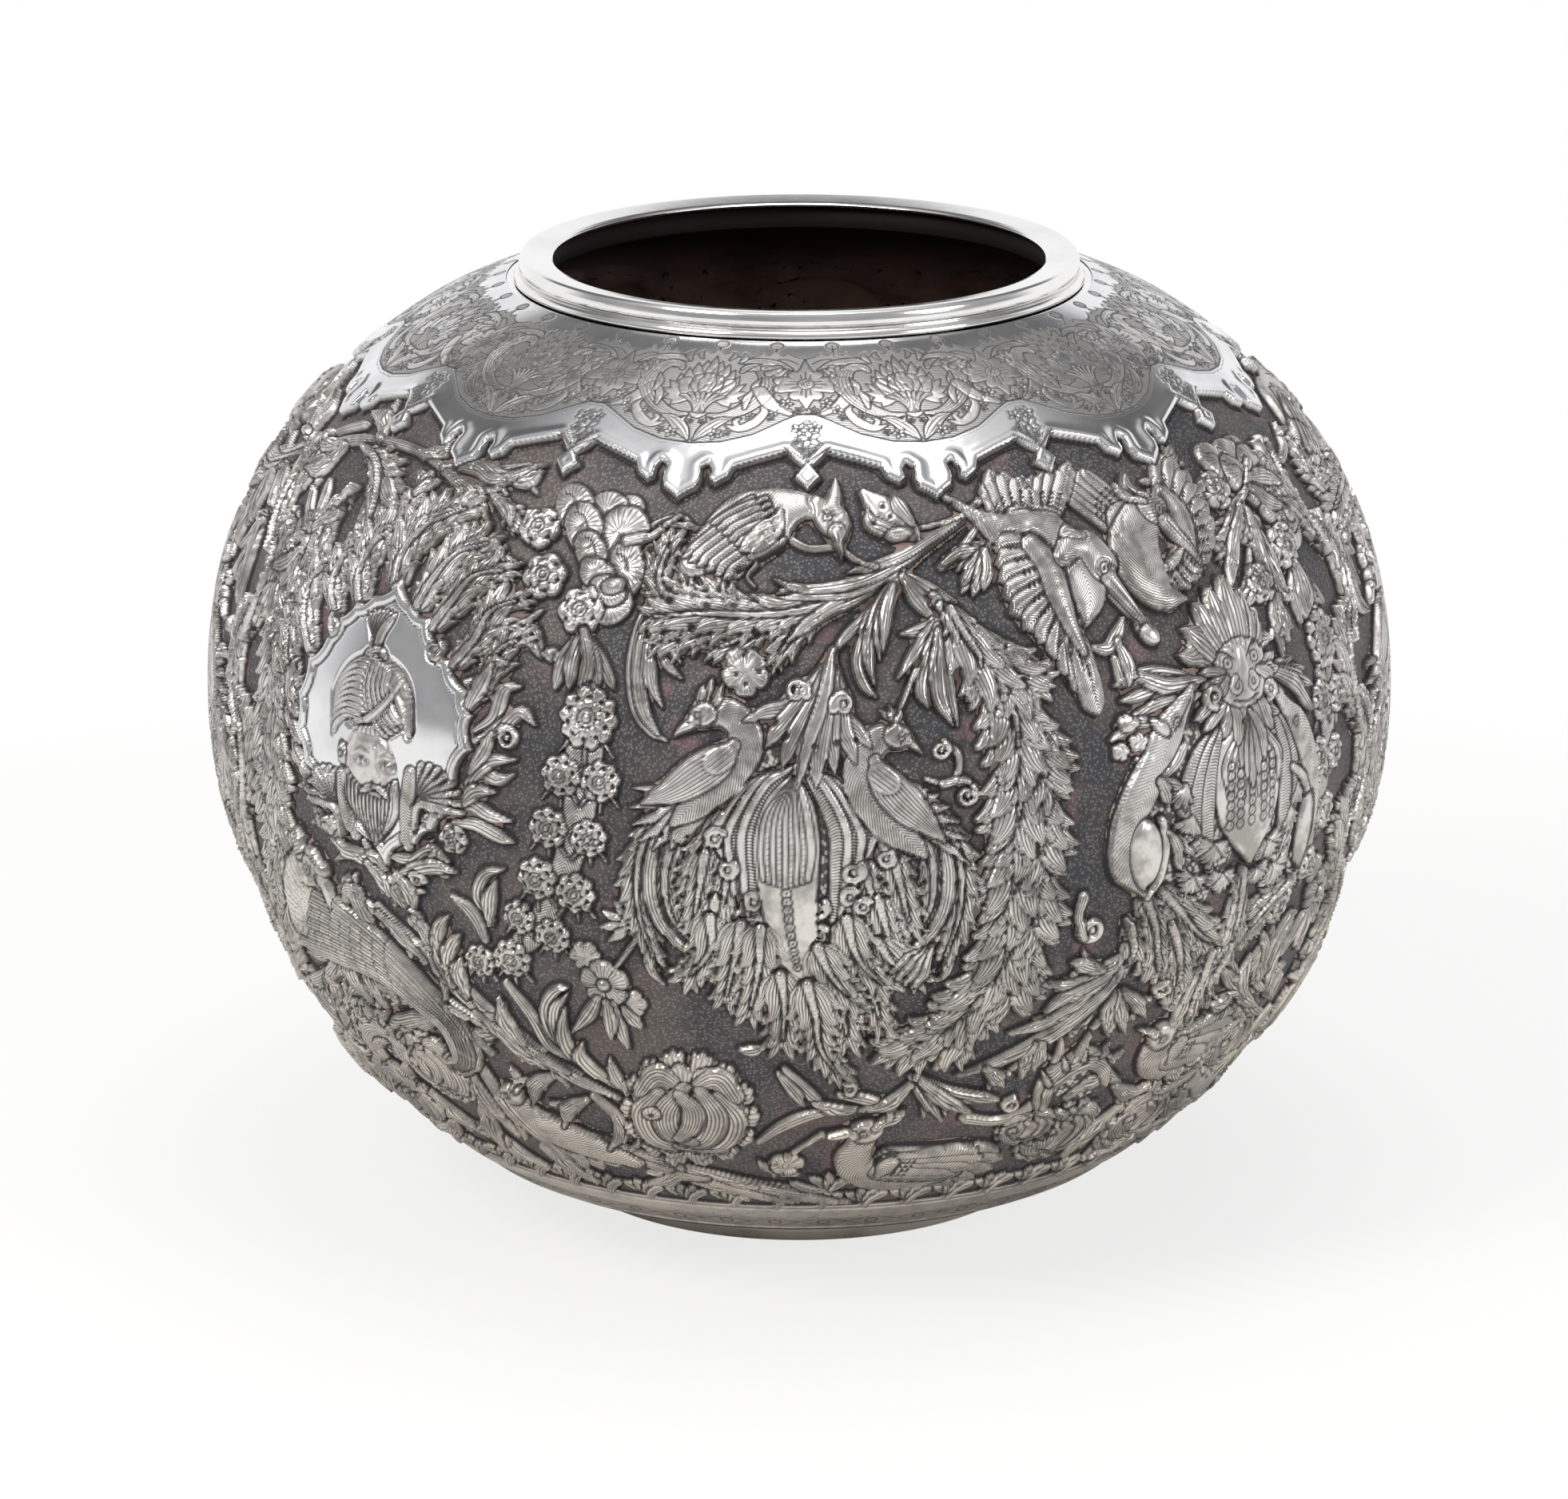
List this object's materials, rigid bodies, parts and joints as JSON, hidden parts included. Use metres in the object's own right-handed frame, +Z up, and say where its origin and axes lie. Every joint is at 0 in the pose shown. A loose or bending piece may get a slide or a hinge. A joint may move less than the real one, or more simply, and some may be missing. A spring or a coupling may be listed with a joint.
{
  "type": "globular silver vase",
  "caption": "Round-bellied vase of embossed and chased sheet silver with a plain engraved shoulder collar, a moulded rim over a wire bead, and a low foot ring.",
  "frame": {"origin": "middle of the foot ring's underside, where the vase stands", "axes": "+Z up along the vase's axis; the side seen in the picture faces -Y"},
  "size_m": [0.2522, 0.2522, 0.2015],
  "materials": {
    "embossed_silver": "tarnished embossed silver, burnished on the high relief, dark matted ground",
    "polished_silver": "polished silver",
    "foot_silver": "satin warm grey silver"
  },
  "bodies": {
    "root": {"body_shell": "embossed_silver", "rim_moulding": "polished_silver", "neck_wire": "polished_silver", "foot_ring": "foot_silver"}
  },
  "joints": []
}
